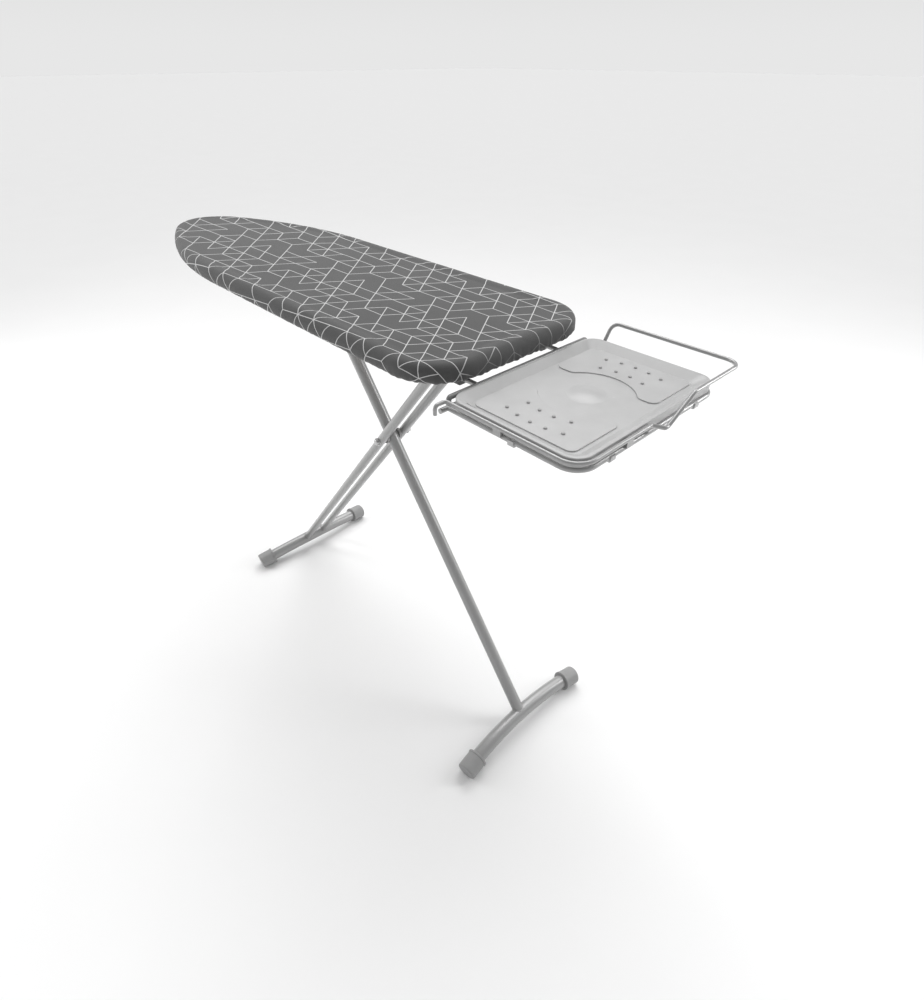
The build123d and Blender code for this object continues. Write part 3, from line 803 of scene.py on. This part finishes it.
def saddle_curve(tip, direction, radius, centre, big):
    """Where a round bar meets the side of a bigger one that runs along Y through the centre."""
    u, v, w = frame_of(direction)
    points = []
    for i in range(BEAD_POINTS):
        turn = 2 * math.pi * i / BEAD_POINTS
        start = tip + (u * math.cos(turn) + v * math.sin(turn)) * radius
        gap = Vector((start.x - centre.x, start.z - centre.z))
        run = Vector((-w.x, -w.z))
        a, b, c = run.dot(run), 2 * gap.dot(run), gap.dot(gap) - big * big
        root = max(b * b - 4 * a * c, 0.0)
        travel = (-b - math.sqrt(root)) / (2 * a)
        points.append(start - w * travel)
    return points


def bead_along(name, curve, radius, body, seed):
    """Closed weld bead with the ripple of a hand weld."""
    rng = random.Random(seed)
    count, around = len(curve), 10
    points = []
    phase = rng.uniform(0, 6.28)
    for i, here in enumerate(curve):
        ahead = (curve[(i + 1) % count] - curve[i - 1]).normalized()
        u, v, _ = frame_of(ahead)
        size = radius * (1 + 0.16 * math.sin(i * 1.4 + phase) + rng.uniform(-0.06, 0.06))
        for k in range(around):
            turn = 2 * math.pi * k / around
            points.append(here + (u * math.cos(turn) + v * math.sin(turn)) * size)
    mesh_piece(name, points, loop_faces(count, around), "leg_lacquer", body)


def cross_bar(node):
    """Middle of a bar that runs across the board, in the board's middle plane, and the bar's radius."""
    low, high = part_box(node)
    return Vector(((low.x + high.x) / 2, 0, (low.z + high.z) / 2)), (high.z - low.z) / 2


def leg_tube(node):
    """Place across the board and radius of a leg tube."""
    low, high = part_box(node)
    return (low.y + high.y) / 2, (high.y - low.y) / 2


def foot_middle(top, pivot):
    """Middle of a foot's arch, on the line of its leg from the top end through the pivot."""
    way = (pivot - top).normalized()
    end = pivot + way * ((FOOT_END_Z - pivot.z) / way.z)
    return end - way * FOOT_RISE


def make_welds():
    """Hand weld beads where the leg tubes meet the feet, the hinge tube and the rack's crossbar."""
    pivot, _ = cross_bar("pivot_bolt")
    hinge, hinge_r = cross_bar("outer_hinge_tube")
    bar, bar_r = cross_bar("rack_crossbar")
    twin_y, twin_r = leg_tube("outer_leg_tube_far")
    _, single_r = leg_tube("inner_leg_tube")
    rear, front = foot_middle(hinge, pivot), foot_middle(bar, pivot)
    # name, body, bead's size, leg's place across and radius, where it ends and that bar's radius, seed
    beads = (
        ("weld_outer_foot_far", "outer_leg", OUTER_BEAD, twin_y, twin_r, rear, FOOT_R, 30),
        ("weld_outer_hinge_far", "outer_leg", OUTER_BEAD, twin_y, twin_r, hinge, hinge_r, 31),
        ("weld_outer_foot_near", "outer_leg", OUTER_BEAD, -twin_y, twin_r, rear, FOOT_R, 32),
        ("weld_outer_hinge_near", "outer_leg", OUTER_BEAD, -twin_y, twin_r, hinge, hinge_r, 33),
        ("weld_inner_foot", "inner_leg", INNER_BEAD, 0.0, single_r, front, FOOT_R, 44),
        ("weld_inner_crossbar", "inner_leg", INNER_BEAD, 0.0, single_r, bar, bar_r, 45),
    )
    for name, body, size, y, leg_r, end, end_r, seed in beads:
        curve = saddle_curve(pivot + Vector((0, y, 0)), pivot - end, leg_r, end, end_r)
        bead_along(name, curve, size, body, seed)


# ============================ hem casing ==================================
CASING_R = 2.9 * MM
CASING_FOLD = 0.55 * MM
CASING_CLOTH = 18 * MM


def make_hem():
    """Gathered casing that holds the elastic under the cover."""
    low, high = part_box("cover_elastic")
    z = (low.z + high.z) / 2
    edge, outward = deck_outline(HEM_POINTS)
    middle = edge - outward * (HEM_TUCK + 0.2 * MM)
    folds = gather_wave(distance_along(middle), 7)
    around = 12
    points = []
    for i in range(HEM_POINTS):
        size = CASING_R + CASING_FOLD * folds[i]
        for k in range(around):
            turn = 2 * math.pi * k / around
            wide = size * (1 + 0.06 * math.sin(3 * turn + i * 0.9))
            x, y = middle[i] + outward[i] * math.cos(turn) * wide
            points.append((x, y, z + 0.3 * MM + math.sin(turn) * wide))
    casing = mesh_piece("hem_casing", points, loop_faces(HEM_POINTS, around), "cover_cotton", "board")
    cloth = np.tile(np.linspace(0, CASING_CLOTH, around)[:, None], (HEM_POINTS, 2))
    add_uv(casing, "flat", np.repeat(middle, around, axis=0) + cloth)
    add_uv(casing, "print", np.full((len(points), 2), 0.5))
    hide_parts("cover_elastic")


# ============================ stage and camera ============================
CAMERA_PLACE = (1.0118, -0.6512, 1.2754)
CAMERA_YAW = 0.817
CAMERA_PITCH = 0.648
CAMERA_LENS = 21.19
SUN_PLACE = (-1.6, 1.6, 4.0)
SUN_POWER = 1.75
SUN_SPREAD = math.radians(55)
HORIZON_LIGHT = 0.80
ZENITH_LIGHT = 0.42
LIGHTS = (
    # name, place, aim, width, height, power
    ("overhead", (-0.9, 0.9, 3.1), (-0.1, 0.0, 0.9), 2.6, 1.6, 16.0),
    ("left_strip", (-2.3, -1.7, 1.5), (0.0, 0.0, 0.55), 0.35, 2.4, 26.0),
    ("far_strip", (1.9, 2.3, 1.9), (0.2, 0.0, 0.6), 0.5, 2.2, 30.0),
)


def make_floor():
    """Pale floor that runs out to the horizon."""
    bpy.ops.mesh.primitive_plane_add(size=120, location=(0, 0, 0))
    floor = bpy.context.object
    floor.name = "floor"
    material, g = new_material("floor_paper")
    place = g.object_place()
    tone = g.noise(place, 3.0, 2.0, 0.5)
    g.set(Base_Color=g.mix(tone, grey(0.88), grey(0.90)), Roughness=0.95)
    g.set(Specular_IOR_Level=0.1)
    floor.data.materials.append(material)


def make_world():
    """Pale horizon that darkens upwards."""
    world = bpy.data.worlds.new("studio")
    world.use_nodes = True
    tree = world.node_tree
    sky = tree.nodes["Background"]
    way = tree.nodes.new("ShaderNodeTexCoord")
    split = tree.nodes.new("ShaderNodeSeparateXYZ")
    fade = tree.nodes.new("ShaderNodeMapRange")
    fade.interpolation_type = "SMOOTHSTEP"
    fade.inputs["From Min"].default_value = 0.0
    fade.inputs["From Max"].default_value = 0.35
    fade.inputs["To Min"].default_value = HORIZON_LIGHT
    fade.inputs["To Max"].default_value = ZENITH_LIGHT
    tree.links.new(way.outputs["Generated"], split.inputs[0])
    tree.links.new(split.outputs["Z"], fade.inputs["Value"])
    tree.links.new(fade.outputs["Result"], sky.inputs["Strength"])
    sky.inputs["Color"].default_value = (1, 1, 1, 1)
    bpy.context.scene.world = world


def make_lights():
    """Soft studio lights and a wide sun."""
    lamps = []
    for name, place, aim, width, height, power in LIGHTS:
        lamp = bpy.data.lights.new(name, "AREA")
        lamp.shape = "RECTANGLE"
        lamp.size = width
        lamp.size_y = height
        lamp.energy = power
        lamps.append((name, lamp, place, aim))
    sun = bpy.data.lights.new("soft_sun", "SUN")
    sun.angle = SUN_SPREAD
    sun.energy = SUN_POWER
    lamps.append(("soft_sun", sun, SUN_PLACE, (0, 0, 0)))
    for name, lamp, place, aim in lamps:
        holder = bpy.data.objects.new(name, lamp)
        holder.location = place
        holder.rotation_mode = "QUATERNION"
        holder.rotation_quaternion = (Vector(aim) - Vector(place)).to_track_quat("-Z", "Y")
        bpy.context.scene.collection.objects.link(holder)


def make_camera():
    """Camera above the tail's near side, looking down along the board."""
    data = bpy.data.cameras.new("camera")
    camera = bpy.data.objects.new("camera", data)
    bpy.context.scene.collection.objects.link(camera)
    level = math.cos(CAMERA_PITCH)
    forward = Vector((-math.sin(CAMERA_YAW) * level, math.cos(CAMERA_YAW) * level, -math.sin(CAMERA_PITCH)))
    camera.location = CAMERA_PLACE
    camera.rotation_mode = "QUATERNION"
    camera.rotation_quaternion = forward.to_track_quat("-Z", "Y")
    data.sensor_width = 36.0
    data.lens = CAMERA_LENS
    data.clip_start = 0.01
    data.clip_end = 100.0
    bpy.context.scene.camera = camera
    bpy.context.scene.view_settings.view_transform = "Standard"


make_camera()
make_floor()
make_world()
make_lights()
dress_cad_nodes()
make_pad()
make_cover()
make_expanded_sheet()
make_hem()
make_welds()
